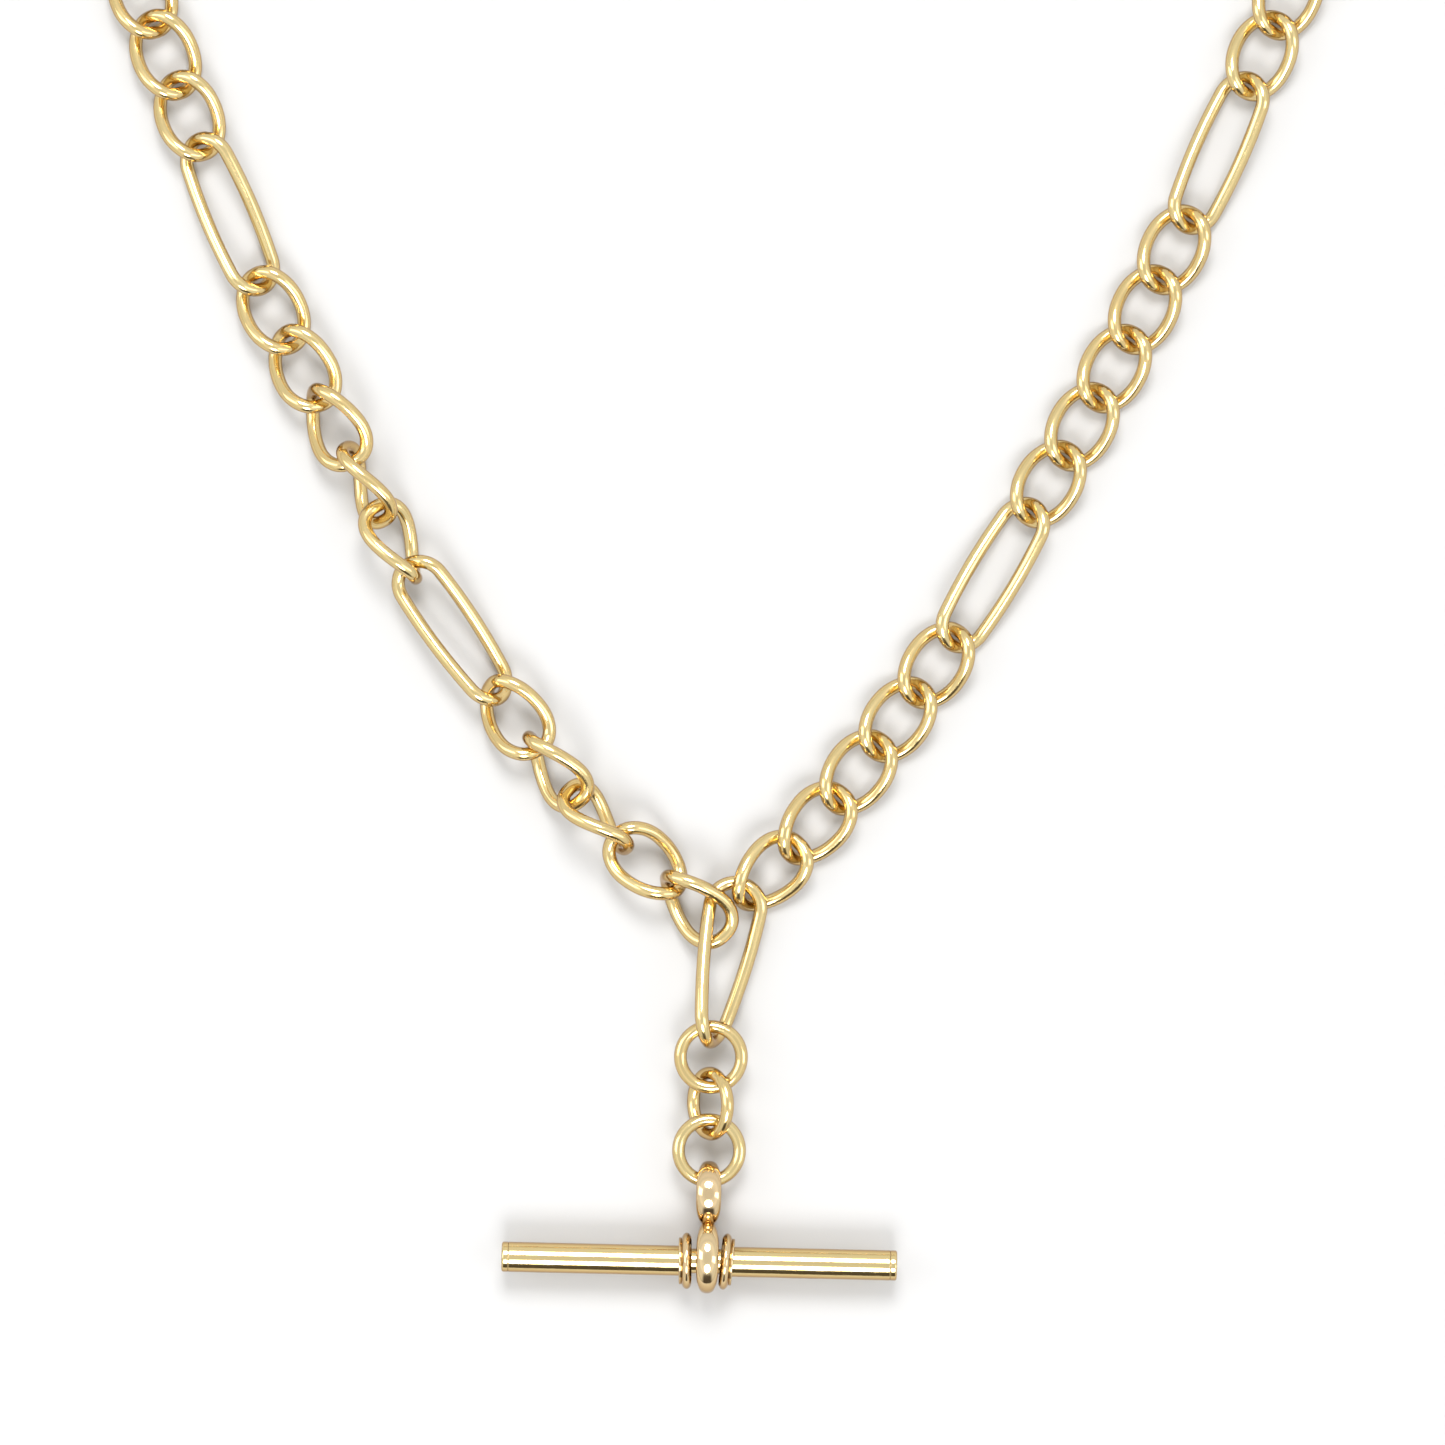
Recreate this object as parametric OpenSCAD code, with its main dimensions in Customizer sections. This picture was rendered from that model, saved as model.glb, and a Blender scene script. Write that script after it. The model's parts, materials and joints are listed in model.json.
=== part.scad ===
// Double pocket watch chain, laid out flat on a table.
// Two strands of twisted curb links, five short to one long, hang from a centre link.
// Below the centre link, three rings and a figure-eight bail carry the T-bar.
// A swivel dog clip ends each strand.
// Millimetres. +Z is up from the table, +Y runs from the T-bar towards the clips.

/* [Curb links] */
// Diameter of the wire that the links are bent from
wire_d = 1.04; // [0.98:0.02:1.06]
// Outside length of a short link
short_l = 7.28; // [7.2:0.02:7.36]
// Outside width of a short link
short_w = 5.22; // [5.1:0.02:5.4]
// Outside length of a long link
long_l = 13.39; // [13.2:0.01:13.6]
// Outside width of a long link
long_w = 4.66; // [4.6:0.02:4.9]
// Outside width of the centre link
centre_w = 4.95; // [4.85:0.05:5.05]
// Twist of a link from its one end to the other
link_twist = 76; // [74:1:80]

/* [Drop] */
// Outside diameter of the three rings
ring_od = 5.63; // [5.59:0.02:5.69]
// Diameter of the rings' wire
ring_wire_d = 0.98; // [0.94:0.02:1]
// Outside diameter of the bail's upper ring
bail_od = 4.9; // [4.8:0.05:5]
// Width of the bail's upper ring
bail_w = 1.9; // [1.7:0.05:2]
// Outside diameter of the loop that the T-bar turns in
loop_od = 5.5; // [5.4:0.05:5.6]
// Width of that loop
loop_w = 1.7; // [1.5:0.05:1.8]

/* [T-bar] */
// Length of the T-bar over its end caps
bar_l = 30; // [26:0.5:34]
// Diameter of the T-bar
bar_d = 2.3; // [2.2:0.05:2.35]
// Diameter of the tube's bore
bar_bore_d = 1.2; // [1:0.05:1.4]
// Outside diameter of a collar on the bar
collar_od = 4.3; // [4.1:0.05:4.4]
// Width of a collar
collar_w = 0.98; // [0.9:0.02:1.02]
// Thickness of an end cap's disc
cap_t = 0.5; // [0.4:0.05:0.8]

/* [Dog clips] */
// Thickness of a clip's body
clip_t = 2.4; // [2.2:0.05:2.5]
// Outside width of the clip's loop
clip_w = 8; // [7.6:0.1:8.4]
// Width of the flat bar that the loop is made from
clip_bar = 1.4; // [1.3:0.05:1.5]

/* [Layout] */
// Play between the links of the right strand
right_play = 0.15; // [0.12:0.01:0.17]
// Play between the links of the left strand
left_play = 0.2; // [0.18:0.01:0.24]
// Play between the rings of the drop
drop_play = 0.12; // [0.1:0.01:0.16]

/* [Hidden] */
$fn = 48;
tube_sides = 8;
wire_r = wire_d / 2;
ring_wire_r = ring_wire_d / 2;
ring_r = (ring_od - ring_wire_d) / 2;

// Middle of the laid-out chain's box, in the layout's own frame
origin_shift = [1.03, 37.45, 0];
// Where each strand starts, beside the top of the centre link
left_start = [-0.30, -15.73, 2.09];
right_start = [1.87, -13.20, 1.75];

// The run of links in a strand, from the centre link outwards: S is short, L is long
pattern = "SSSSSLSSSSSLSSSSSLSSS";
links = len(pattern);
// Direction of each link in plan, degrees from +X, and its roll about its own length
left_heading = [
    134, 142, 135, 128, 126, 125, 119, 117, 119, 118, 117, 113, 111, 112,
    109, 105, 101, 97, 94, 92, 90];
left_roll = [
    -39.5, 15.5, 72, 124, 165, 190, 235, 282, 325, 350, 360, 360, 360, 360,
    360, 360, 360, 360, 360, 360, 350];
right_heading = [
    45, 49, 53, 53, 56, 59, 58, 61, 61, 64, 64, 66, 66, 67,
    70, 74, 78, 82, 86, 88, 90];
right_roll = [
    20, 12, 4, 0, 0, 0, 0, 0, 0, 0, 0, 0, 0, 0,
    0, 0, 0, 0, 0, 0, -10];

function two_digits(i) = str(i < 10 ? "0" : "", i);
function link_name(side, i) = str(side, "_link_", two_digits(i + 1));
CLIP_PARTS = ["swivel", "body", "gate", "pin", "spring"];

// ---- Twisted links ----

function unit(v) = v / norm(v);

// Centre line of a short link in its own plane: an oval a little fuller than an ellipse
fullness = 2.4;
function full(v) = sign(v) * pow(abs(v), 2 / fullness);
function short_outline(a, b, n = 24) =
    [for (i = [0:n - 1]) [a * full(cos(360 * i / n)), b * full(sin(360 * i / n))]];

// Centre line of a long link in its own plane: two half circles and two straights
function half_outline(a, b, arc = 8, run = 6) = concat(
    [for (i = [0:arc]) [a - b + b * cos(180 * i / arc - 90), b * sin(180 * i / arc - 90)]],
    [for (i = [1:run - 1]) [(a - b) * (1 - 2 * i / run), b]]);
function long_outline(a, b) = let (half = half_outline(a, b))
    concat(half, [for (p = half) -p]);

// A link's lines roll from +twist/2 at its near end to -twist/2 at its far end
function roll_at(x, a, roll = 0) = roll - link_twist / 2 * x / a;
function twisted(outline, a, roll = 0) = [for (p = outline)
    let (f = roll_at(p.x, a, roll)) [p.x, p.y * cos(f), p.y * sin(f)]];

// Points of the wire's surface round a closed centre line
function tube_points(outline, a, r) = let (
    line = twisted(outline, a),
    n = len(line))
    [for (i = [0:n - 1]) let (
        f = roll_at(line[i].x, a),
        along = unit(line[(i + 1) % n] - line[(i + n - 1) % n]),
        up = [0, -sin(f), cos(f)],
        n1 = unit(up - (up * along) * along),
        n2 = cross(along, n1))
        for (j = [0:tube_sides - 1]) let (b = 360 * (j + 0.5) / tube_sides)
            line[i] + r * (cos(b) * n1 + sin(b) * n2)];

function tube_faces(n, m) = [for (i = [0:n - 1], j = [0:m - 1]) let (
    here = i * m,
    next = (i + 1) % n * m,
    k = (j + 1) % m)
    for (face = [[here + j, next + j, next + k], [here + j, next + k, here + k]]) face];

module twisted_link(outline, a) {
    polyhedron(
        points = tube_points(outline, a, wire_r),
        faces = tube_faces(len(outline), tube_sides));
}

// ---- Sizes of each kind of link ----

short_a = (short_l - wire_d) / 2;
short_b = (short_w - wire_d) / 2;
long_a = (long_l - wire_d) / 2;
long_b = (long_w - wire_d) / 2;
centre_b = (centre_w - wire_d) / 2;
function is_long(i) = pattern[i] == "L";
function half_length(i) = is_long(i) ? long_a : short_a;
function outline(i) = is_long(i) ? long_outline(long_a, long_b)
                                 : short_outline(short_a, short_b);
// Half the height that a link takes up on the table at its roll
function half_height(i, roll) =
    wire_r + max([for (p = twisted(outline(i), half_length(i), roll)) p.z]);
function pitch(i, play) = 2 * half_length(i) - wire_d - play;

// ---- Route of a strand: the points where its links meet ----

function node_heights(first, rolls) = let (
    h = [for (i = [0:links - 1]) half_height(i, rolls[i])])
    [for (i = [0:links]) i == 0 ? first : max(h[i - 1], h[min(i, links - 1)])];
function steps(headings, heights, play) = [for (i = [0:links - 1]) let (
    rise = heights[i + 1] - heights[i],
    flat = sqrt(pow(pitch(i, play), 2) - rise * rise))
    [flat * cos(headings[i]), flat * sin(headings[i]), rise]];
function sums(v, i = 0, at = [0, 0, 0], out = []) =
    i > len(v) ? out : sums(v, i + 1, at + (i < len(v) ? v[i] : [0, 0, 0]), concat(out, [at]));
function route(start, headings, rolls, play) = let (
    heights = node_heights(start.z, rolls),
    line = sums(steps(headings, heights, play)))
    [for (p = line) p + start];

left_route = route(left_start, left_heading, left_roll, left_play);
right_route = route(right_start, right_heading, right_roll, right_play);

// ---- Placing ----

function heading_of(v) = atan2(v.y, v.x);
function climb_of(v) = atan2(v.z, norm([v.x, v.y]));

// Puts a piece that is drawn along +X between two points, rolled about its length
module between(p, q, roll = 0) {
    v = q - p;
    translate((p + q) / 2)
        rotate([roll, -climb_of(v), heading_of(v)])
            children();
}

module laid_out() {
    translate(-origin_shift)
        children();
}

module strand_link(line, rolls, i) {
    color("goldenrod")
        laid_out()
            between(line[i], line[i + 1], rolls[i])
                twisted_link(outline(i), half_length(i));
}

// ---- Centre link and drop ----

centre_mid = [0.17, -18.20, 2.3];
// Roll about its length, tilt of its length, heading of its length
centre_turn = [33, 5.5, 79];
centre_play = 0.3;
centre_to_ring = long_a - (wire_d + ring_wire_d) / 4 - centre_play / 2;
centre_bottom = centre_mid - centre_to_ring * [
    cos(centre_turn.z) * cos(centre_turn.y),
    sin(centre_turn.z) * cos(centre_turn.y),
    -sin(centre_turn.y)];
ring_rolls = [4, 56, -4];
ring_pitch = ring_od - 2 * ring_wire_d - drop_play;
ring_line = [
    centre_bottom,
    centre_bottom + ring_pitch * [0, -1, -0.06],
    centre_bottom + ring_pitch * [-0.02, -2, -0.12],
    centre_bottom + ring_pitch * [-0.06, -3, -0.12]];

module centre_link() {
    color("goldenrod")
        laid_out()
            translate(centre_mid)
                rotate(centre_turn)
                    twisted_link(long_outline(long_a, centre_b), long_a);
}

module torus(r, wire) {
    rotate_extrude()
        translate([r, 0])
            circle(wire);
}

module drop_ring(i) {
    color("gold")
        laid_out()
            between(ring_line[i], ring_line[i + 1], ring_rolls[i])
                torus(ring_r, ring_wire_r);
}

// Bail: a broad ring above and a narrower loop below, soldered where they meet
bail_t = 0.9;
loop_t = 1.05;
bail_tilt = 1.3;
bail_r = (bail_od - bail_t) / 2;
loop_r = (loop_od - loop_t) / 2;
ring_to_bail = ring_wire_r + bail_t / 2 + drop_play;
bail_centre = ring_line[3] + [0, ring_to_bail / 2 - bail_r, 0.12];
bail_to_loop = 4.85;
loop_centre = bail_centre + [-0.1, -bail_to_loop, 0.3];
// The bar lies low and forward in its loop
bar_in_loop = [-0.57, -0.3, -0.3];
bar_centre = loop_centre + bar_in_loop;

module flat_ring(r, t, w) {
    rotate_extrude()
        translate([r, 0]) {
            square([t, w - t], center = true);
            for (side = [-1, 1])
                translate([0, side * (w - t) / 2])
                    circle(t / 2);
        }
}

module bail() {
    color("gold")
        laid_out() {
            translate(bail_centre)
                rotate([0, 90, -bail_tilt])
                    flat_ring(bail_r, bail_t, bail_w);
            translate(loop_centre)
                rotate([0, 90, -bail_tilt])
                    flat_ring(loop_r, loop_t, loop_w);
        }
}

// ---- T-bar ----

collar_x = [-1.07, 2.08];
// The tube is turned down between the collars, where the loop runs
waist_r = bar_d / 2 - 0.2;
waist_x = [collar_x[0] - 0.35 * collar_w, collar_x[1] + 0.35 * collar_w];

module on_bar() {
    laid_out()
        translate(bar_centre)
            rotate([0, 0, -bail_tilt])
                children();
}

module t_bar() {
    tube_l = bar_l - 2 * cap_t;
    color("gold")
        on_bar()
            rotate([0, 90, 0])
                difference() {
                    union() {
                        translate([0, 0, -tube_l / 2])
                            cylinder(h = tube_l / 2 + waist_x[0], d = bar_d);
                        translate([0, 0, waist_x[1]])
                            cylinder(h = tube_l / 2 - waist_x[1], d = bar_d);
                        cylinder(h = tube_l - 4, r = waist_r, center = true);
                    }
                    cylinder(h = bar_l, d = bar_bore_d, center = true);
                }
}

module bar_end_caps() {
    edge = 0.15;
    plug_l = 0.8;
    plug_gap = 0.01;
    r = bar_d / 2;
    color("khaki")
        on_bar()
            for (side = [-1, 1])
                rotate([0, side * 90, 0]) {
                    translate([0, 0, bar_l / 2 - cap_t])
                        rotate_extrude()
                            polygon([
                                [0, 0],
                                [r, 0],
                                [r, cap_t - edge],
                                [r - 0.3 * edge, cap_t - 0.3 * edge],
                                [r - edge, cap_t],
                                [0, cap_t]]);
                    translate([0, 0, bar_l / 2 - cap_t - plug_l])
                        cylinder(h = plug_l + cap_t / 2, r = bar_bore_d / 2 - plug_gap);
                }
}

module bar_collars() {
    t = collar_w / 2;
    centre_r = collar_od / 2 - t;
    foot_w = 0.7 * collar_w;
    color("sandybrown")
        on_bar()
            for (x = collar_x)
                translate([x, 0, 0])
                    rotate([0, 90, 0])
                        rotate_extrude() {
                            translate([centre_r, 0])
                                circle(t);
                            translate([waist_r, -foot_w / 2])
                                square([centre_r - waist_r, foot_w]);
                        }
}

// ---- Dog clips, drawn along +X from the point where the last link meets the swivel ----

swivel_od = 4.9;
swivel_wire_d = 0.9;
swivel_r = (swivel_od - swivel_wire_d) / 2;
swivel_roll = 25;
swivel_x = swivel_r - (wire_d + swivel_wire_d) / 4 - right_play / 2;
stem_d = 1.1;
stem_play = 0.06;
head_d = 1.8;
barrel_d = 2.4;
barrel_x = swivel_x + swivel_r + 0.9;
barrel_l = 4.6;
head_x = barrel_x + 2.4;
head_l = 0.6;
clip_x1 = barrel_x + barrel_l + clip_w / 2 - 0.9;
clip_x2 = clip_x1 + 3.8;
clip_r = clip_w / 2;
mid_r = clip_r - clip_bar / 2;
pivot = [clip_x1 - 1.1, -mid_r + 0.2];
pin_d = 0.8;
pin_play = 0.05;
tongue_t = 1;
tongue_gap = 0.1;
nose_x = clip_x2 - 0.6;
hub_r = 0.85;
cheek_r = 1.25;

// Clip frame: a strand's end, its last direction, and the table
module at_end(line) {
    v = line[links] - line[links - 1];
    laid_out()
        translate(line[links])
            rotate([0, 0, heading_of(v)])
                children();
}

module clip_swivel() {
    color("gold")
        rotate([swivel_roll, 0, 0]) {
            translate([swivel_x, 0, 0])
                torus(swivel_r, swivel_wire_d / 2);
            rotate([0, 90, 0]) {
                translate([0, 0, swivel_x + swivel_r])
                    cylinder(h = head_x - swivel_x - swivel_r + head_l / 2, d = stem_d);
                translate([0, 0, head_x])
                    cylinder(h = head_l, d = head_d);
            }
        }
}

module slot_2d(x1, x2, r) {
    translate([x1, 0])
        circle(r);
    translate([x2, 0])
        circle(r);
    translate([x1, -r])
        square([x2 - x1, 2 * r]);
}

module clip_body() {
    color("goldenrod")
        difference() {
            union() {
                rotate([0, 90, 0])
                    translate([0, 0, barrel_x])
                        cylinder(h = barrel_l, d = barrel_d);
                linear_extrude(clip_t, center = true)
                    difference() {
                        slot_2d(clip_x1, clip_x2, clip_r);
                        slot_2d(clip_x1, clip_x2, clip_r - clip_bar);
                        translate([pivot.x, -clip_r])
                            square([nose_x - pivot.x, clip_r - 0.6]);
                    }
                translate([pivot.x, pivot.y, 0])
                    cylinder(h = clip_t, r = cheek_r, center = true);
            }
            rotate([0, 90, 0]) {
                translate([0, 0, barrel_x - 1])
                    cylinder(h = head_x - barrel_x + 1, r = stem_d / 2 + stem_play);
                translate([0, 0, head_x - 0.1])
                    cylinder(h = head_l + 0.2, r = head_d / 2 + stem_play);
            }
            translate([pivot.x, pivot.y, 0]) {
                cylinder(h = 2 * clip_t, r = pin_d / 2, center = true);
                cylinder(h = tongue_t + 2 * tongue_gap, r = cheek_r + 0.4, center = true);
            }
        }
}

// Gate: a thin tongue between the body's cheeks, a bar as thick as the body, and a tip that
// rests inside the nose
module clip_gate() {
    gate_t = clip_t - 0.2;
    bar_y = -0.9;
    bar_w = clip_bar - 0.1;
    bar_x = cheek_r + 0.3;
    bar_end = nose_x - pivot.x - 0.15;
    tip_y = mid_r - clip_r + clip_bar - 0.05;
    tip_w = 0.5;
    color("gold")
        translate([pivot.x, pivot.y, 0])
            difference() {
                union() {
                    linear_extrude(tongue_t, center = true) {
                        circle(hub_r);
                        translate([0, bar_y])
                            square([bar_x + 0.5, bar_w]);
                        translate([bar_end - 1.6, tip_y])
                            square([2.4, tip_w]);
                    }
                    linear_extrude(gate_t, center = true) {
                        translate([bar_x, bar_y])
                            square([bar_end - bar_x, bar_w]);
                        translate([bar_end - 1.6, bar_y])
                            square([1.6, tip_y + tip_w - bar_y]);
                        translate([bar_x + 1, bar_y - 0.2])
                            circle(0.7);
                    }
                }
                cylinder(h = 2 * clip_t, r = pin_d / 2 + pin_play, center = true);
                translate([0, 0, -tongue_t])
                    cylinder(h = tongue_t, r = hub_r + 0.05);
            }
}

module clip_pin() {
    color("khaki")
        translate([pivot.x, pivot.y, 0])
            cylinder(h = clip_t + 0.1, d = pin_d, center = true);
}

module clip_spring() {
    spring_wire = 0.2;
    turns = 2;
    color("silver")
        translate([pivot.x, pivot.y, -tongue_t / 2 + spring_wire / 2 + 0.02])
            for (i = [0:turns - 1])
                translate([0, 0, i * spring_wire])
                    torus(pin_d / 2 + 0.06 + spring_wire / 2, spring_wire / 2);
}

module clip_part(part) {
    if (part == "swivel") clip_swivel();
    if (part == "body") clip_body();
    if (part == "gate") clip_gate();
    if (part == "pin") clip_pin();
    if (part == "spring") clip_spring();
}

// ---- Nodes ----

centre_link();
for (i = [0:links - 1]) {
    strand_link(left_route, left_roll, i);
    strand_link(right_route, right_roll, i);
}
for (i = [0:2])
    drop_ring(i);
bail();
t_bar();
bar_end_caps();
bar_collars();
for (part = CLIP_PARTS) {
    at_end(left_route) clip_part(part);
    at_end(right_route) clip_part(part);
}
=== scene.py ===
"""A gold double watch chain on a white table: links, ring drop, bail, T-bar and dog clips."""
import json
import random
from math import atan2, cos, hypot, pi, radians, sin, tan

import bpy
import numpy as np
from mathutils import Matrix, Vector


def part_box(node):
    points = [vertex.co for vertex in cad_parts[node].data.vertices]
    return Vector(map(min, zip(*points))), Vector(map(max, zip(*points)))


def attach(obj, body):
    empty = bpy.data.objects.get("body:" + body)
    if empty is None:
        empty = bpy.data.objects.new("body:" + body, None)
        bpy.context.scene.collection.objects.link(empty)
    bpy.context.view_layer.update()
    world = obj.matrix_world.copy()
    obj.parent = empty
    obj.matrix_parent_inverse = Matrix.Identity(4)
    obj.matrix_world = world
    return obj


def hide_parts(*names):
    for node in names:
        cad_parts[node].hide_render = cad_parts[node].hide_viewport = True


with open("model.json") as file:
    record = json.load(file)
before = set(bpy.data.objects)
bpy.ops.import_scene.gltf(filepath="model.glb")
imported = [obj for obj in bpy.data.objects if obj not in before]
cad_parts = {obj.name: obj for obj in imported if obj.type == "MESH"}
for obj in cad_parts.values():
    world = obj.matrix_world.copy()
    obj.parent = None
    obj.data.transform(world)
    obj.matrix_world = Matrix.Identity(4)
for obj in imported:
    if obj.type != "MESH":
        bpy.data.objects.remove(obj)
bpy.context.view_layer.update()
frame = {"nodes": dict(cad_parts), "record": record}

MM = 0.001

# ---- Places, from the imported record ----

behaviour = frame["record"]["behaviour"]
HINGE = {j["child"]: Vector(j["pos_m"]) for j in behaviour["joints"]}


def middle(node):
    low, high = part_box(node)
    return (Vector(low) + Vector(high)) / 2


# ---- Sizes, the same driving dimensions as the solids ----

WIRE_D = 1.04 * MM
SHORT_L, SHORT_W = 7.28 * MM, 5.22 * MM
LONG_L, LONG_W = 13.39 * MM, 4.66 * MM
CENTRE_W = 4.95 * MM
LINK_TWIST = radians(76)
FULLNESS = 2.4
WIRE_SIDES = 24
RING_OD, RING_WIRE_D = 5.63 * MM, 0.98 * MM
CENTRE_PLAY = 0.3 * MM
BAIL_OD, BAIL_T, BAIL_W = 4.9 * MM, 0.9 * MM, 1.9 * MM
LOOP_OD, LOOP_T, LOOP_W = 5.5 * MM, 1.05 * MM, 1.7 * MM
BAIL_TO_LOOP = 4.85 * MM
BAIL_NARROW, LOOP_NARROW = 1.3 * MM, 1.2 * MM
BAIL_TILT = radians(-1.3)
BAR_L, BAR_D, CAP_T = 30 * MM, 2.3 * MM, 0.5 * MM
BAR_R = BAR_D / 2 * 0.998
BAR_BORE_R = 0.6 * MM
COLLAR_OD, COLLAR_W = 4.3 * MM, 0.98 * MM
COLLAR_X = (-1.07 * MM, 2.08 * MM)
WAIST_R = BAR_D / 2 - 0.2 * MM

# A piece is drawn a little inside its solid's surface
SNUG = 0.992

# The run of links in a strand, from the centre link outwards: S is short, L is long
PATTERN = "SSSSSLSSSSSLSSSSSLSSS"
# Roll of each link about its own length, as the links lie on the table
ROLLS = {
    "left": [-39.5, 15.5, 72, 124, 165, 190, 235, 282, 325, 350] + [360] * 10 + [350],
    "right": [20, 12, 4] + [0] * 17 + [-10],
}
CENTRE_ROLL, CENTRE_TILT, CENTRE_HEADING = radians(33), radians(5.5), radians(79)
RING_ROLLS = (radians(4), radians(56), radians(-4))
# Place of the solder seam round each ring
RING_SEAM = radians(150)


# ---- Mesh building ----

def add_piece(name, verts, faces, matrix, body, nodes, material, angle=None):
    """A smooth mesh piece that rides on a body and stands for the CAD nodes."""
    mesh = bpy.data.meshes.new(name)
    mesh.from_pydata([tuple(v) for v in verts], [], faces)
    mesh.validate()
    mesh.polygons.foreach_set("use_smooth", [True] * len(mesh.polygons))
    mesh.update()
    piece = bpy.data.objects.new(name, mesh)
    bpy.context.scene.collection.objects.link(piece)
    piece.matrix_world = matrix
    if angle:
        mesh.set_sharp_from_angle(angle=radians(angle))
    mesh.materials.append(material)
    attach(piece, body)
    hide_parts(*nodes)
    return piece


def rows_to_faces(rows, columns, closed_rows=True):
    """Quads over a grid of points that is closed across its columns."""
    faces = []
    for i in range(rows if closed_rows else rows - 1):
        here, ahead = i * columns, (i + 1) % rows * columns
        for j in range(columns):
            k = (j + 1) % columns
            faces.append((here + j, ahead + j, ahead + k, here + k))
    return faces


def unit(v):
    return v / np.linalg.norm(v, axis=-1, keepdims=True)


def full(v, power):
    """Cosine or sine, bent so that an ellipse becomes a fuller superellipse."""
    return np.sign(v) * np.abs(v) ** (2 / power)


def swept(line, up, half_up, half_side, sides=WIRE_SIDES, power=2.0):
    """Closed tube round a closed line. Its section is a superellipse, half_up by half_side."""
    along = unit(np.roll(line, -1, 0) - np.roll(line, 1, 0))
    n1 = unit(up - (up * along).sum(1, keepdims=True) * along)
    n2 = np.cross(along, n1)
    turn = np.linspace(0, 2 * pi, sides, endpoint=False)
    c, s = full(np.cos(turn), power), full(np.sin(turn), power)
    half_up = np.broadcast_to(half_up, (len(line), sides))
    half_side = np.broadcast_to(half_side, (len(line), sides))
    ring = (half_up * c)[..., None] * n1[:, None] + (half_side * s)[..., None] * n2[:, None]
    points = line[:, None] + ring
    return points.reshape(-1, 3), rows_to_faces(len(line), sides)


def lathe(profile, sides=72):
    """Surface turned round the X axis from (x, radius) points. Ends on the axis are closed."""
    turn = [2 * pi * j / sides for j in range(sides)]
    verts = [(x, r * cos(a), r * sin(a)) for x, r in profile for a in turn]
    faces = rows_to_faces(len(profile), sides, closed_rows=False)
    for row, flip in ((0, False), (len(profile) - 1, True)):
        disc = [row * sides + j for j in range(sides)]
        faces.append(tuple(disc if flip else reversed(disc)))
    return verts, faces


# ---- Materials ----

class Nodes:
    """Short names for building a node tree."""

    def __init__(self, tree, coordinates):
        self.tree = tree
        self.where = self.add("ShaderNodeTexCoord").outputs[coordinates]

    def add(self, kind, inputs=(), **settings):
        node = self.tree.nodes.new(kind)
        for key, value in settings.items():
            setattr(node, key, value)
        for socket, value in dict(inputs).items():
            self.put(node, socket, value)
        return node

    def put(self, node, socket, value):
        if isinstance(value, bpy.types.NodeSocket):
            self.tree.links.new(value, node.inputs[socket])
        else:
            node.inputs[socket].default_value = value

    def noise(self, scale, detail=4, at=None, stretch=None, seed=0):
        where = self.where if at is None else at
        if stretch:
            where = self.add("ShaderNodeMapping", {0: where, "Scale": stretch}).outputs[0]
        node = self.add(
            "ShaderNodeTexNoise",
            {"Vector": where, "W": seed, "Scale": scale, "Detail": detail},
            noise_dimensions="4D")
        return node.outputs["Fac"]

    def ranged(self, value, low, high, new_low=0.0, new_high=1.0):
        return self.add(
            "ShaderNodeMapRange",
            {"Value": value, "From Min": low, "From Max": high,
             "To Min": new_low, "To Max": new_high}).outputs[0]

    def mix(self, factor, a, b):
        node = self.add("ShaderNodeMix", {"Factor": factor}, data_type="RGBA")
        for socket, value in ((6, a), (7, b)):
            self.put(node, socket, value)
        return node.outputs[2]

    def maths(self, operation, a, b=0.0):
        return self.add("ShaderNodeMath", {0: a, 1: b}, operation=operation).outputs[0]


def new_material(name):
    material = bpy.data.materials.new(name)
    material.use_nodes = True
    n = Nodes(material.node_tree, "Object")
    return material, n, n.tree.nodes["Principled BSDF"]


def polished_gold(name, colour, deep, roughness=0.13, wobble=1.0):
    """Polished gold: uneven tint, painted shade that darkens it at glancing angles, and hairline
    scratches.
    """
    material, n, shader = new_material(name)
    piece = n.add("ShaderNodeObjectInfo").outputs["Random"]
    seed = n.maths("MULTIPLY", piece, 50.0)

    # Tint: soft patches, and each piece a little warmer or cooler
    patches = n.ranged(n.noise(450, 3, seed=seed), 0.35, 0.65)
    warm = n.ranged(piece, 0, 1, 0.0, 0.35)
    amount = n.maths("ADD", n.maths("MULTIPLY", patches, 0.3), warm)
    tint = n.mix(amount, (*colour, 1), (*deep, 1))
    # Painted shade: at glancing angles the tint is mixed towards a dark brown, in place of
    # darker reflections at the rims of the wires
    facing = n.add("ShaderNodeLayerWeight", {"Blend": 0.5}).outputs["Facing"]
    n.put(shader, "Base Color", n.mix(n.ranged(facing, 0.15, 0.65), tint, PAINTED_RIM_SHADE))

    # Hairlines run every way, from years of rubbing
    hairs = [n.noise(5200, 2, stretch=way, seed=seed)
             for way in ((1, 0.06, 0.06), (0.06, 1, 0.06), (0.07, 0.5, 1))]
    lines = n.maths("MAXIMUM", n.maths("MAXIMUM", hairs[0], hairs[1]), hairs[2])
    scratch = n.ranged(lines, 0.62, 0.72)
    smear = n.ranged(n.noise(900, 4, seed=seed), 0.3, 0.7, roughness * 0.75, roughness * 1.35)
    n.put(shader, "Roughness", n.maths("ADD", smear, n.maths("MULTIPLY", scratch, 0.06)))

    # Hand polishing leaves the surface slightly uneven
    uneven = n.add("ShaderNodeBump", {
        "Height": n.noise(700, 2, seed=seed), "Distance": 0.02 * MM * wobble, "Strength": 1.0})
    fine = n.add("ShaderNodeBump", {
        "Height": n.maths("SUBTRACT", 1.0, scratch), "Distance": 0.002 * MM,
        "Strength": 0.5, "Normal": uneven.outputs[0]})
    n.put(shader, "Normal", fine.outputs[0])
    shader.inputs["Metallic"].default_value = 1.0
    return material


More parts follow.
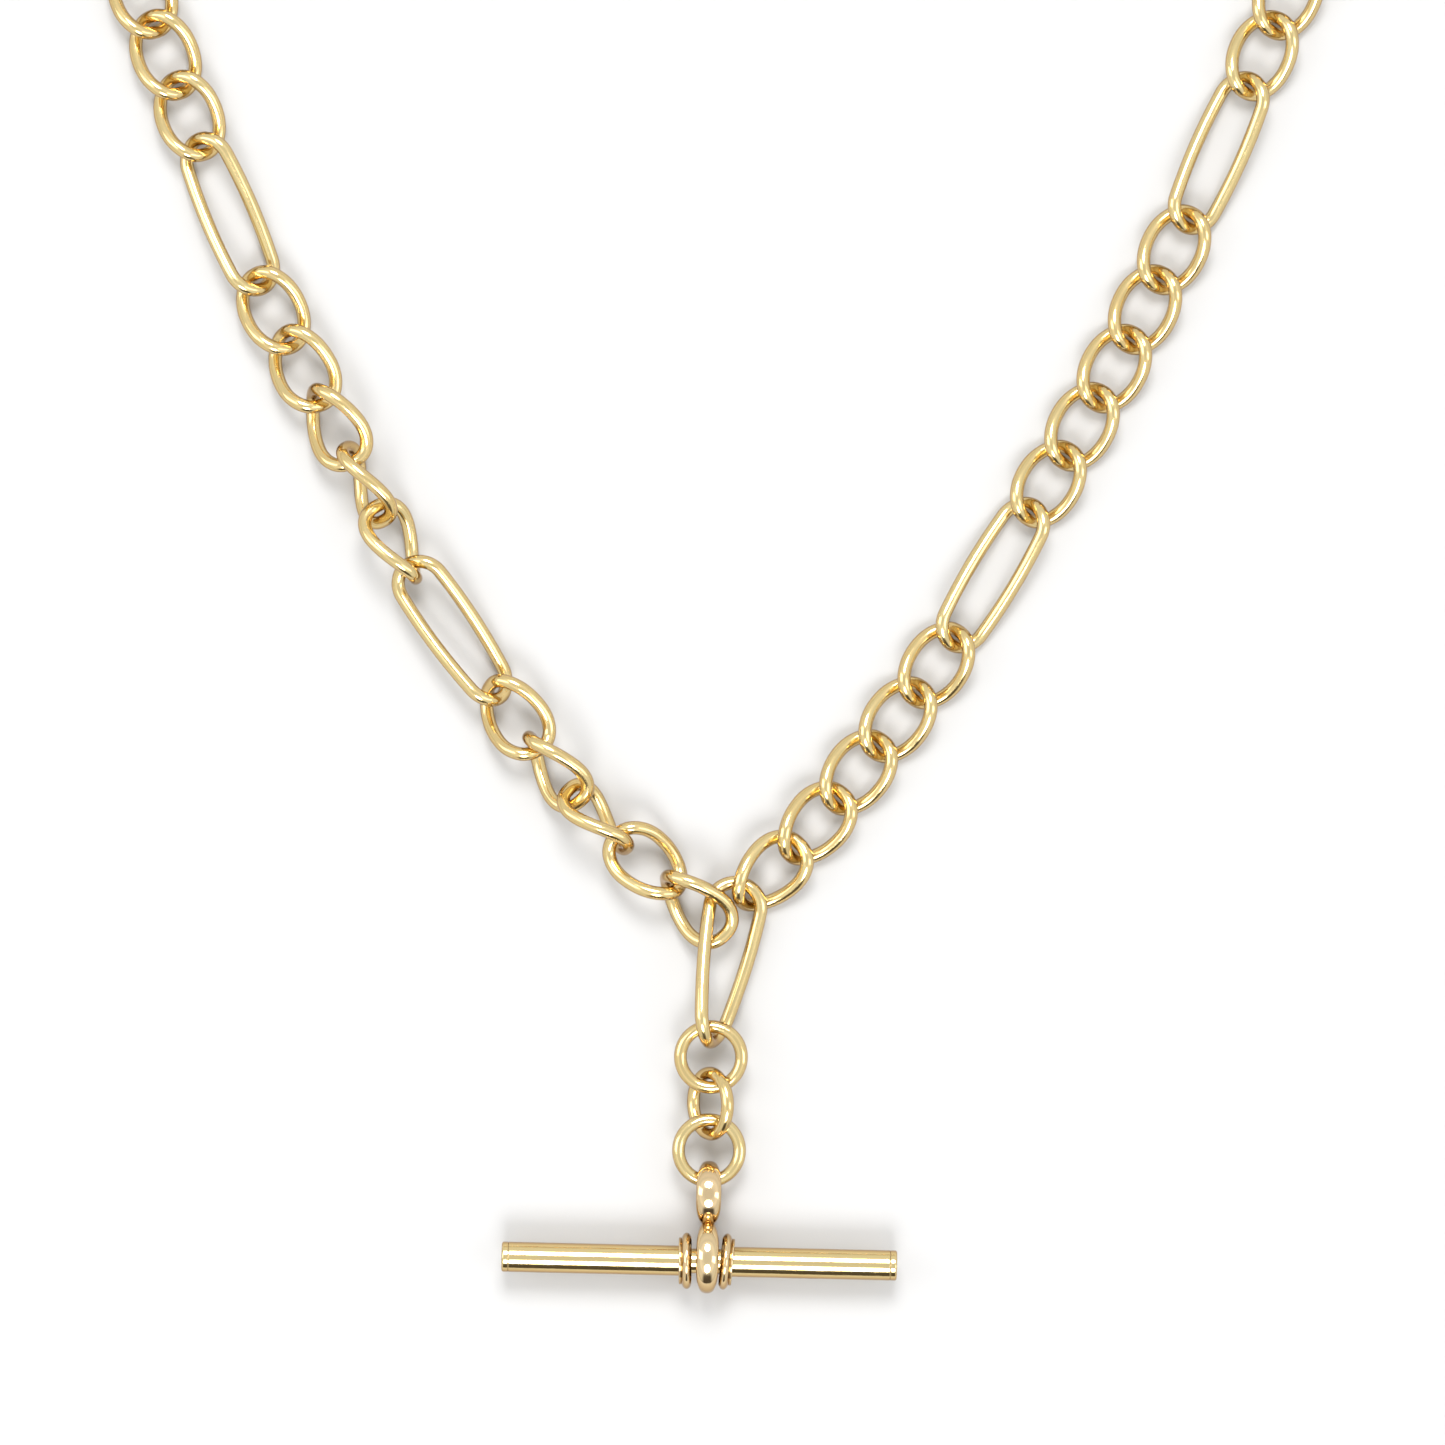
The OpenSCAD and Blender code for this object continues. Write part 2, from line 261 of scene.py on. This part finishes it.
def steel_wire(name):
    material, n, shader = new_material(name)
    drawn = n.noise(2500, 3)
    n.put(shader, "Base Color", n.mix(drawn, (0.55, 0.55, 0.54, 1), (0.74, 0.73, 0.71, 1)))
    n.put(shader, "Roughness", n.ranged(drawn, 0, 1, 0.2, 0.4))
    shader.inputs["Metallic"].default_value = 1.0
    return material


# Painted rim shade, the dark brown that every gold is mixed towards at glancing angles, and the
# two tints that patches run between
PAINTED_RIM_SHADE = (0.42, 0.25, 0.08, 1)
PALE, DEEP = (0.95, 0.77, 0.38), (0.93, 0.68, 0.29)
LINK_GOLD = polished_gold("link gold", PALE, DEEP)
RING_GOLD = polished_gold("ring gold", PALE, DEEP, roughness=0.11)
BAIL_GOLD = polished_gold("bail gold", (0.96, 0.76, 0.43), (0.95, 0.67, 0.40), roughness=0.07)
BAR_GOLD = polished_gold("bar gold", PALE, (0.94, 0.71, 0.35), roughness=0.1, wobble=0.5)
CLIP_GOLD = polished_gold("clip gold", PALE, DEEP, roughness=0.12)
STEEL = steel_wire("spring steel")


# ---- Links ----

def oval(a, b, steps=96):
    """Outline of a short link: an oval a little fuller than an ellipse."""
    turn = np.linspace(0, 2 * pi, steps, endpoint=False)
    dense = np.column_stack((a * full(np.cos(turn), FULLNESS), b * full(np.sin(turn), FULLNESS)))
    return evened(dense, steps)


def stadium(a, b, arc=26, run=24):
    """Outline of a long link: two half circles and two straight sides."""
    turn = np.linspace(-pi / 2, pi / 2, arc)
    bend = np.column_stack((a - b + b * np.cos(turn), b * np.sin(turn)))
    side = np.column_stack((np.linspace(a - b, b - a, run + 2)[1:-1], np.full(run, b)))
    half = np.vstack((bend, side))
    return np.vstack((half, -half))


def evened(points, steps):
    """The same closed outline with its points evenly spaced."""
    loop = np.vstack((points, points[:1]))
    run = np.concatenate(([0], np.cumsum(np.linalg.norm(np.diff(loop, axis=0), axis=1))))
    at = np.linspace(0, run[-1], steps, endpoint=False)
    return np.column_stack([np.interp(at, run, loop[:, k]) for k in range(2)])


def twisted_link(outline, a, rng):
    """Wire bent to the outline and twisted, with a filed solder seam and rubbed ends."""
    roll = -LINK_TWIST / 2 * outline[:, 0] / a
    line = np.column_stack((
        outline[:, 0], outline[:, 1] * np.cos(roll), outline[:, 1] * np.sin(roll)))
    up = np.column_stack((np.zeros(len(line)), -np.sin(roll), np.cos(roll)))
    turn = np.linspace(0, 2 * pi, WIRE_SIDES, endpoint=False)
    # Seam near the middle of one side, filed nearly flush
    side = rng.choice((-1, 1))
    seam_x = rng.uniform(-0.15, 0.15) * a
    off = np.abs(outline[:, 0] - seam_x)
    off = np.where(np.sign(outline[:, 1]) == side, off, np.inf)
    groove = 0.012 * np.exp(-(off / (0.12 * MM)) ** 2)
    bulge = 0.01 * np.exp(-(off / (0.4 * MM)) ** 2)
    # Inner faces of both ends, rubbed by the next link
    ends = np.clip(np.abs(outline[:, 0]) / a - 0.86, 0, 1) / 0.14
    inner = np.clip(np.sin(turn), 0, 1)
    phase = rng.uniform(0, 2 * pi)
    steps = np.arange(len(line)) / len(line) * 2 * pi
    lumps = 0.006 * np.sin(3 * steps + phase) + 0.004 * np.sin(7 * steps + 2 * phase)
    size = WIRE_D / 2 * (SNUG - groove + bulge + lumps)[:, None]
    size = size * (1 - 0.035 * ends[:, None] * inner[None, :])
    return swept(line, up, size, size)


def between(p, q, roll):
    """Matrix of a piece that is made along X between two points, rolled about its length."""
    v = q - p
    heading, climb = atan2(v.y, v.x), atan2(v.z, hypot(v.x, v.y))
    return (Matrix.Translation((p + q) / 2) @ Matrix.Rotation(heading, 4, "Z")
            @ Matrix.Rotation(-climb, 4, "Y") @ Matrix.Rotation(roll, 4, "X"))


def make_strand(side):
    count = len(PATTERN)
    names = [f"{side}_link_{i + 1:02d}" for i in range(count)]
    meets = [HINGE[name] for name in names] + [HINGE[f"{side}_clip_swivel"]]
    for i, name in enumerate(names):
        rng = random.Random(name)
        if PATTERN[i] == "L":
            a, b = (LONG_L - WIRE_D) / 2, (LONG_W - WIRE_D) / 2
            verts, faces = twisted_link(stadium(a, b), a, rng)
        else:
            a, b = (SHORT_L - WIRE_D) / 2, (SHORT_W - WIRE_D) / 2
            verts, faces = twisted_link(oval(a, b), a, rng)
        matrix = between(meets[i], meets[i + 1], radians(ROLLS[side][i]))
        add_piece(f"{name}_wire", verts, faces, matrix, name, [name], LINK_GOLD)


def make_centre_link():
    a, b = (LONG_L - WIRE_D) / 2, (CENTRE_W - WIRE_D) / 2
    turn = (Matrix.Rotation(CENTRE_HEADING, 4, "Z") @ Matrix.Rotation(CENTRE_TILT, 4, "Y")
            @ Matrix.Rotation(CENTRE_ROLL, 4, "X"))
    reach = a - (WIRE_D + RING_WIRE_D) / 4 - CENTRE_PLAY / 2
    centre = HINGE["drop_ring_1"] + reach * (turn @ Vector((1, 0, 0)))
    verts, faces = twisted_link(stadium(a, b), a, random.Random("centre_link"))
    add_piece("centre_link_wire", verts, faces, Matrix.Translation(centre) @ turn,
              "centre_link", ["centre_link"], LINK_GOLD)


# ---- Drop: rings and bail ----

def circle_line(radius, steps=96):
    turn = np.linspace(0, 2 * pi, steps, endpoint=False)
    line = np.column_stack((radius * np.cos(turn), radius * np.sin(turn), np.zeros(steps)))
    return turn, line


def make_rings():
    ends = [HINGE["drop_ring_1"], HINGE["drop_ring_2"], HINGE["drop_ring_3"], HINGE["bail"]]
    for i, roll in enumerate(RING_ROLLS):
        name = f"drop_ring_{i + 1}"
        turn, line = circle_line((RING_OD - RING_WIRE_D) / 2)
        up = np.tile((0.0, 0.0, 1.0), (len(line), 1))
        away = np.abs((turn - RING_SEAM + pi) % (2 * pi) - pi)
        seam = 0.02 * np.exp(-(away / 0.03) ** 2)
        size = RING_WIRE_D / 2 * (SNUG - seam + 0.005 * np.sin(4 * turn + i))[:, None]
        verts, faces = swept(line, up, size, size)
        matrix = between(ends[i], ends[i + 1], roll)
        matrix.translation = middle(name)
        add_piece(f"{name}_wire", verts, faces, matrix, name, [name], RING_GOLD)


def broad_ring(radius, thick, wide, narrow):
    """Ring round local Z whose band is wide, and narrow where it passes the Y axis."""
    turn, line = circle_line(radius, 128)
    up = np.tile((0.0, 0.0, 1.0), (len(line), 1))
    half = (wide - (wide - narrow) * np.sin(turn) ** 4) / 2
    return swept(line, up, half[:, None], np.full((len(line), 1), thick / 2), 32, power=2.2)


def make_bail():
    """Two rings about the T-bar's direction. The lower loop sits a little left and higher."""
    low, high = (Vector(v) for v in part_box("bail"))
    turned = Matrix.Rotation(BAIL_TILT, 4, "Z") @ Matrix.Rotation(pi / 2, 4, "Y")
    upper = Vector(((low.x + high.x) / 2 + 0.05 * MM, high.y - BAIL_OD / 2, low.z + BAIL_OD / 2))
    lower = Vector((upper.x - 0.1 * MM, upper.y - BAIL_TO_LOOP, low.z + LOOP_OD / 2))
    for name, centre, outside, thick, wide, narrow in (
            ("bail_upper_ring", upper, BAIL_OD, BAIL_T, BAIL_W, BAIL_NARROW),
            ("bail_lower_loop", lower, LOOP_OD, LOOP_T, LOOP_W, LOOP_NARROW)):
        verts, faces = broad_ring((outside - thick) / 2, thick, wide, narrow)
        matrix = Matrix.Translation(centre) @ turned
        add_piece(name, verts, faces, matrix, "bail", ["bail"], BAIL_GOLD)


# ---- T-bar ----

def bar_matrix():
    return Matrix.Translation(middle("t_bar")) @ Matrix.Rotation(BAIL_TILT, 4, "Z")


def rounded(x, r, radius, start, end, steps=5):
    """Profile points of a rounded edge about (x, r), from one angle to the other."""
    return [(x + radius * cos(t), r + radius * sin(t))
            for t in np.linspace(radians(start), radians(end), steps)]


def make_bar():
    """Tube with two arms and a narrower waist, where the bail's loop runs."""
    half, r, edge = BAR_L / 2 - CAP_T, BAR_R, 0.06 * MM
    left_step, right_step = COLLAR_X[0] - 0.35 * COLLAR_W, COLLAR_X[1] + 0.35 * COLLAR_W
    profile = [(-half, BAR_BORE_R), *rounded(-half + edge, r - edge, edge, 180, 90)]
    profile += [(x, r) for x in np.linspace(-half + 2 * edge, left_step - edge, 40)]
    profile += [(left_step, r - edge), (left_step, WAIST_R)]
    profile += [(right_step, WAIST_R), (right_step, r - edge)]
    profile += [(x, r) for x in np.linspace(right_step + edge, half - 2 * edge, 40)]
    profile += [*rounded(half - edge, r - edge, edge, 90, 0), (half, BAR_BORE_R)]
    verts, faces = lathe(profile)
    add_piece("t_bar_tube", verts, faces, bar_matrix(), "t_bar", ["t_bar"],
              BAR_GOLD, angle=35)


def make_caps():
    """End caps: a disc with a rounded rim, and a plug that runs into the tube."""
    r, edge, foot = BAR_R, 0.16 * MM, 0.05 * MM
    plug_l, plug_r = 0.8 * MM, BAR_BORE_R * 0.95
    inner, outer = BAR_L / 2 - CAP_T, BAR_L / 2
    profile = [(inner - plug_l, plug_r), (inner, plug_r)]
    profile += rounded(inner + foot, r - foot, foot, 180, 90)
    profile += rounded(outer - edge, r - edge, edge, 90, 0, 8)
    profile += [(outer, r * 0.4)]
    verts, faces = lathe(profile)
    count = len(verts)
    verts = verts + [(-x, -y, z) for x, y, z in verts]
    faces = faces + [tuple(count + k for k in face) for face in faces]
    add_piece("bar_end_discs", verts, faces, bar_matrix(), "t_bar", ["bar_end_caps"],
              BAR_GOLD, angle=35)


def make_collars():
    """Two turned collars: a broad round bead with a thin flange on its outer side."""
    top, half = COLLAR_OD / 2, COLLAR_W / 2
    bead_w, bead_h = 0.38 * MM, 0.55 * MM
    flange_r, flange_drop = 0.1 * MM, 0.45 * MM
    # Angle, in radians, at which the bead runs into the flange
    meet = 2.6
    for side, x, way, lean in (("left", COLLAR_X[0], -1, -1), ("right", COLLAR_X[1], 1, 4)):
        bead_x = -way * (half - bead_w)
        flange_x = way * (half - flange_r)
        profile = [(-way * half, WAIST_R)]
        profile += [(bead_x - way * bead_w * cos(t), top - bead_h + bead_h * sin(t))
                    for t in np.linspace(0, meet, 24)]
        profile += [(flange_x + way * flange_r * cos(t), top - flange_drop + flange_r * sin(t))
                    for t in np.linspace(meet, 0, 8)]
        profile += [(way * half, WAIST_R)]
        # The profile runs from left to right, so that the surface faces outwards
        verts, faces = lathe(profile[::way])
        matrix = (bar_matrix() @ Matrix.Translation((x, 0, 0))
                  @ Matrix.Rotation(radians(-lean), 4, "Z"))
        add_piece(f"bar_collar_{side}", verts, faces, matrix, "t_bar", ["bar_collars"],
                  BAIL_GOLD, angle=50)


# ---- Dog clips ----

def finish_clips():
    """The clips keep their exact solids, with their edges eased and a polished finish."""
    for side in ("left", "right"):
        for part in ("swivel", "body", "gate", "pin", "spring"):
            node = frame["nodes"][f"{side}_clip_{part}"]
            node.data.materials.clear()
            node.data.materials.append(STEEL if part == "spring" else CLIP_GOLD)
            if part in ("body", "gate", "pin"):
                ease = node.modifiers.new("eased edges", "BEVEL")
                ease.width = 0.12 * MM
                ease.segments = 3
                ease.limit_method = "ANGLE"
                ease.angle_limit = radians(40)
                ease.harden_normals = True


# ---- Stage: table, light and camera ----

# Middle of the view, from where the first left link hangs
VIEW_CENTRE = HINGE["left_link_01"] + Vector((0.3, 15.73, -0.09)) * MM
VIEW_WIDTH = 109.7 * MM
CAMERA_HEIGHT = 0.9
SENSOR_MM = 36.0
TABLE_HALF, TABLE_Z = 3.0, -0.02 * MM


def make_table():
    mesh = bpy.data.meshes.new("table")
    corners = [(TABLE_HALF * x, TABLE_HALF * y, TABLE_Z)
               for x, y in ((-1, -1), (1, -1), (1, 1), (-1, 1))]
    mesh.from_pydata(corners, [], [(0, 1, 2, 3)])
    table = bpy.data.objects.new("table", mesh)
    bpy.context.scene.collection.objects.link(table)
    material, n, shader = new_material("white table")
    n.put(shader, "Base Color", n.mix(
        n.noise(40, 2), (0.54, 0.54, 0.54, 1), (0.555, 0.555, 0.555, 1)))
    shader.inputs["Roughness"].default_value = 0.7
    shader.inputs["Specular IOR Level"].default_value = 0.2
    mesh.materials.append(material)


def make_world():
    """Light tent: bright overhead, greyer low down, with a dark gap on the T-bar's side."""
    world = bpy.data.worlds.new("tent")
    bpy.context.scene.world = world
    world.use_nodes = True
    n = Nodes(world.node_tree, "Generated")
    x, y, z = n.add("ShaderNodeSeparateXYZ", {0: n.where}).outputs
    ramp = n.add("ShaderNodeValToRGB", {0: z})
    # Height above the table and brightness, from the horizon to overhead
    stops = [(0.0, 0.55), (0.12, 0.66), (0.30, 0.70), (0.52, 0.62), (0.70, 0.82), (0.88, 0.72),
             (0.965, 0.60)]
    for at, value in stops:
        stop = ramp.color_ramp.elements.new(at)
        stop.color = (value, value, value, 1)
    ramp.color_ramp.elements.remove(ramp.color_ramp.elements[-1])
    front = n.ranged(y, -0.72, -0.84)
    beside = n.ranged(n.maths("ABSOLUTE", x), 0.45, 0.25)
    gap = n.maths("MULTIPLY", front, beside)
    back = n.tree.nodes["Background"]
    n.put(back, "Color", n.mix(gap, ramp.outputs[0], (0.08, 0.07, 0.06, 1)))
    back.inputs["Strength"].default_value = 1.15


def add_softbox(name, at, width, height, radiance, shape="RECTANGLE"):
    light = bpy.data.lights.new(name, "AREA")
    light.shape = shape
    light.size, light.size_y = width, height
    area = width * height * (pi / 4 if shape == "ELLIPSE" else 1)
    light.energy = radiance * pi * area
    lamp = bpy.data.objects.new(name, light)
    bpy.context.scene.collection.objects.link(lamp)
    lamp.location = VIEW_CENTRE + Vector(at)
    lamp.rotation_euler = (-Vector(at)).to_track_quat("-Z", "Y").to_euler()


def make_lights():
    """Two round softboxes, beyond the clips and beyond the T-bar, and a faint one each side.

    The round ones are placed by their angle from overhead, in degrees."""
    for name, angle, half_angle, radiance in (("back", 31, 12, 15), ("front", -37, 13, 10)):
        size = 2 * tan(radians(half_angle))
        at = (0, sin(radians(angle)), cos(radians(angle)))
        add_softbox(name, at, size, size, radiance, "ELLIPSE")
    add_softbox("left", (-0.9, 0.13, 0.8), 0.5, 0.9, 1.5)
    add_softbox("right", (0.9, -0.16, 0.9), 0.4, 0.8, 1.5)


def make_camera():
    camera = bpy.data.objects.new("camera", bpy.data.cameras.new("camera"))
    bpy.context.scene.collection.objects.link(camera)
    camera.location = VIEW_CENTRE + Vector((0, 0, CAMERA_HEIGHT))
    camera.data.sensor_width = SENSOR_MM
    camera.data.lens = SENSOR_MM * CAMERA_HEIGHT / VIEW_WIDTH
    camera.data.clip_start, camera.data.clip_end = 0.05, 20
    bpy.context.scene.camera = camera


bpy.context.scene.view_settings.view_transform = "Standard"
make_centre_link()
for strand_side in ("left", "right"):
    make_strand(strand_side)
make_rings()
make_bail()
make_bar()
make_caps()
make_collars()
finish_clips()
make_table()
make_world()
make_lights()
make_camera()
